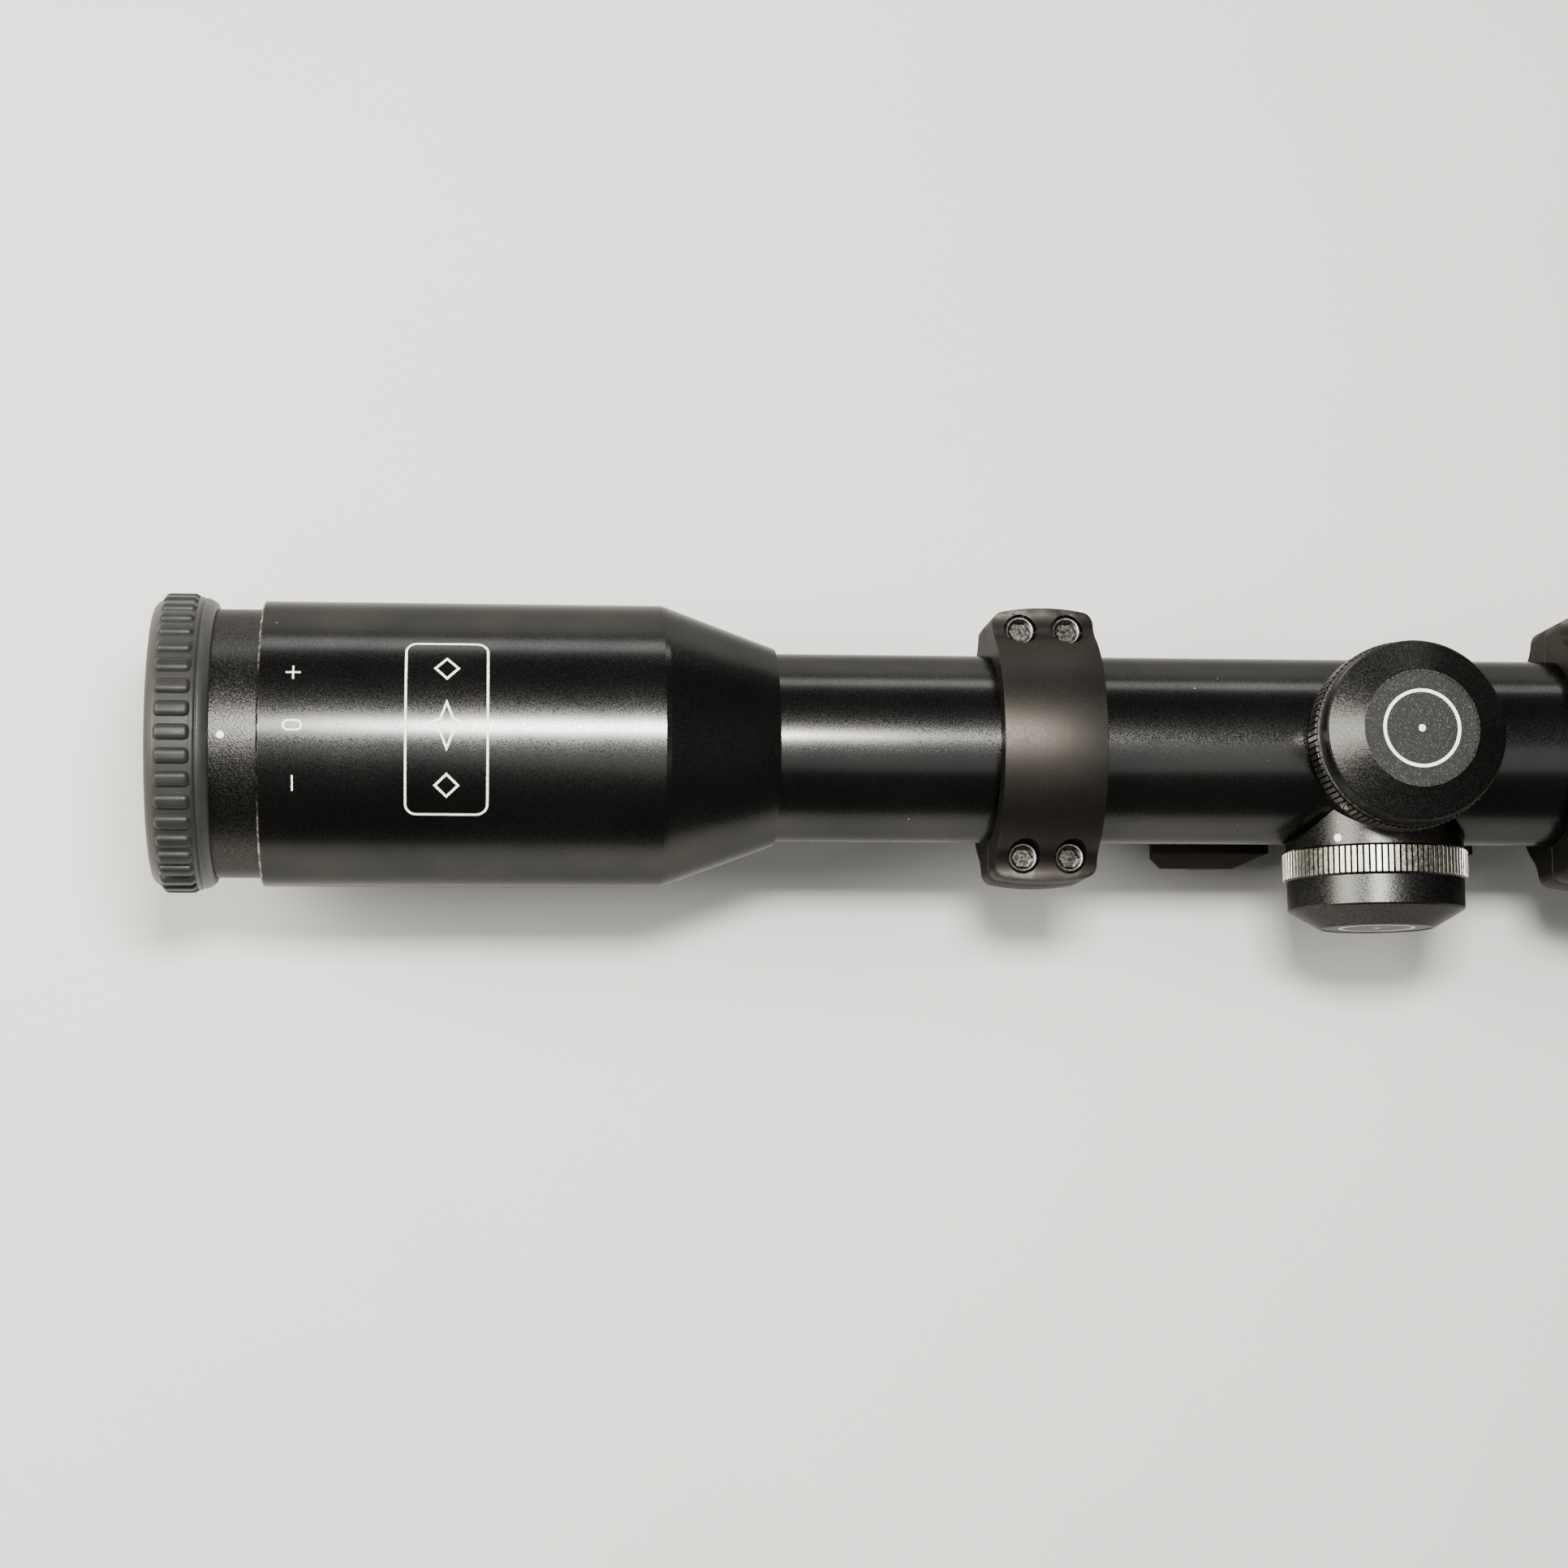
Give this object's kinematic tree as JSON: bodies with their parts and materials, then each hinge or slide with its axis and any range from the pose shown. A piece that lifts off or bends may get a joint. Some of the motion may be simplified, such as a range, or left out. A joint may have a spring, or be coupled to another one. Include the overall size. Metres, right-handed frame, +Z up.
{
  "type": "telescopic sight",
  "caption": "Straight telescopic finder sight with two turrets, a diopter ring, split rings and a one-piece clamp mount for an accessory rail.",
  "frame": {"origin": "on the flat rail seat, under the middle of the two rings", "axes": "+X along the optical axis towards the objective, +Z up through the elevation turret, +Y to the sight's left"},
  "size_m": [0.3271, 0.0482, 0.0575],
  "materials": {
    "black_anodised": "satin black anodised aluminium",
    "blasted_black": "bead-blasted black anodised aluminium",
    "mount_black": "matte brown-black anodised aluminium",
    "disc_grey": "grainy dark grey aluminium",
    "inner_aluminium": "matte black inside parts",
    "screw_steel": "blackened steel with bright edges",
    "bright_steel": "bright steel",
    "brass": "turned brass",
    "rubber": "dark grey moulded rubber",
    "seal_rubber": "black nitrile",
    "coated_glass": "coated optical glass"
  },
  "bodies": {
    "sight": {"main_tube": "black_anodised", "objective_bell": "black_anodised", "eyepiece_housing": "black_anodised", "elevation_neck": "blasted_black", "windage_neck": "blasted_black", "objective_crown_lens": "coated_glass", "objective_flint_lens": "coated_glass", "objective_lock_ring": "inner_aluminium", "objective_seal": "seal_rubber", "gimbal_seat": "inner_aluminium", "gimbal_seat_pins": "bright_steel", "return_spring": "bright_steel", "return_spring_screw": "bright_steel", "guide_screw": "screw_steel", "mount_block": "mount_black", "ring_cap_rear": "mount_black", "ring_cap_front": "mount_black", "cap_screws_rear": "screw_steel", "cap_screws_front": "screw_steel", "elevation_click_ring": "brass", "windage_click_ring": "brass", "elevation_lock_ring": "brass", "windage_lock_ring": "brass"},
    "gimbal": {"gimbal_ring": "brass"},
    "erector": {"erector_tube": "inner_aluminium", "gimbal_tube_pins": "bright_steel", "reticle_cell": "brass", "reticle_disc": "coated_glass", "collector_lens": "coated_glass", "erector_lens_front": "coated_glass", "erector_lens_rear": "coated_glass", "erector_lock_ring": "brass"},
    "ocular": {"ocular_cell": "inner_aluminium", "eye_lens": "coated_glass", "field_lens": "coated_glass", "lens_spacer": "inner_aluminium", "eye_lens_ring": "inner_aluminium"},
    "diopter_ring": {"diopter_barrel": "blasted_black", "rubber_ring": "rubber", "barrel_seal": "seal_rubber"},
    "jaw_rear": {"clamp_jaw_rear": "mount_black"},
    "jaw_front": {"clamp_jaw_front": "mount_black"},
    "bolt_rear": {"clamp_screw_rear": "screw_steel"},
    "bolt_front": {"clamp_screw_front": "screw_steel"},
    "elevation_turret": {"elevation_knob": "blasted_black", "elevation_knob_disc": "disc_grey", "elevation_set_screws": "screw_steel", "elevation_spindle": "brass", "elevation_seal": "seal_rubber", "elevation_click_ball": "bright_steel", "elevation_click_spring": "bright_steel"},
    "elevation_screw": {"elevation_plunger": "bright_steel"},
    "windage_turret": {"windage_knob": "blasted_black", "windage_knob_disc": "disc_grey", "windage_set_screws": "screw_steel", "windage_spindle": "brass", "windage_seal": "seal_rubber", "windage_click_ball": "bright_steel", "windage_click_spring": "bright_steel"},
    "windage_screw": {"windage_plunger": "bright_steel"}
  },
  "joints": [
    {"name": "elevation_turn", "type": "hinge", "parent": "sight", "child": "elevation_turret", "pos_m": [0.0074, 0, 0.045], "axis": [0, 0, 1], "range_deg": [-630, 630]},
    {"name": "elevation_travel", "type": "slide", "parent": "sight", "child": "elevation_screw", "axis": [0, 0, 1], "range_m": [-0.00088, 0.00088]},
    {"name": "windage_turn", "type": "hinge", "parent": "sight", "child": "windage_turret", "pos_m": [0.0074, -0.018, 0.027], "axis": [0, -1, 0], "range_deg": [-630, 630]},
    {"name": "windage_travel", "type": "slide", "parent": "sight", "child": "windage_screw", "axis": [0, -1, 0], "range_m": [-0.00088, 0.00088]},
    {"name": "gimbal_tilt", "type": "hinge", "parent": "sight", "child": "gimbal", "pos_m": [-0.0676, 0, 0.027], "axis": [0, 1, 0], "range_deg": [-0.68, 0.68], "deforming": ["return_spring"]},
    {"name": "erector_swing", "type": "hinge", "parent": "gimbal", "child": "erector", "pos_m": [-0.0676, 0, 0.027], "axis": [0, 0, 1], "range_deg": [-0.68, 0.68]},
    {"name": "diopter_travel", "type": "slide", "parent": "sight", "child": "ocular", "axis": [1, 0, 0], "range_m": [-0.0024, 0.0019]},
    {"name": "diopter_turn", "type": "hinge", "parent": "ocular", "child": "diopter_ring", "pos_m": [-0.15, 0, 0.027], "axis": [1, 0, 0], "range_deg": [-27, 21]},
    {"name": "bolt_rear_turn", "type": "hinge", "parent": "sight", "child": "bolt_rear", "pos_m": [-0.0102, 0, -0.0004], "axis": [0, 1, 0], "range_deg": [0, 1080]},
    {"name": "jaw_rear_slide", "type": "slide", "parent": "sight", "child": "jaw_rear", "axis": [0, -1, 0], "range_m": [0, 0.0024]},
    {"name": "bolt_front_turn", "type": "hinge", "parent": "sight", "child": "bolt_front", "pos_m": [0.01982, 0, -0.0004], "axis": [0, 1, 0], "range_deg": [0, 1080]},
    {"name": "jaw_front_slide", "type": "slide", "parent": "sight", "child": "jaw_front", "axis": [0, -1, 0], "range_m": [0, 0.0024]}
  ],
  "couplings": [
    {"joint": "elevation_travel", "follows": "elevation_turn", "m_per_rad": -0.000079577},
    {"joint": "gimbal_tilt", "follows": "elevation_turn", "ratio": 0.001061},
    {"joint": "windage_travel", "follows": "windage_turn", "m_per_rad": -0.000079577},
    {"joint": "erector_swing", "follows": "windage_turn", "ratio": 0.001061},
    {"joint": "diopter_travel", "follows": "diopter_turn", "m_per_rad": 0.005},
    {"joint": "jaw_rear_slide", "follows": "bolt_rear_turn", "m_per_rad": 0.00012732},
    {"joint": "jaw_front_slide", "follows": "bolt_front_turn", "m_per_rad": 0.00012732}
  ]
}
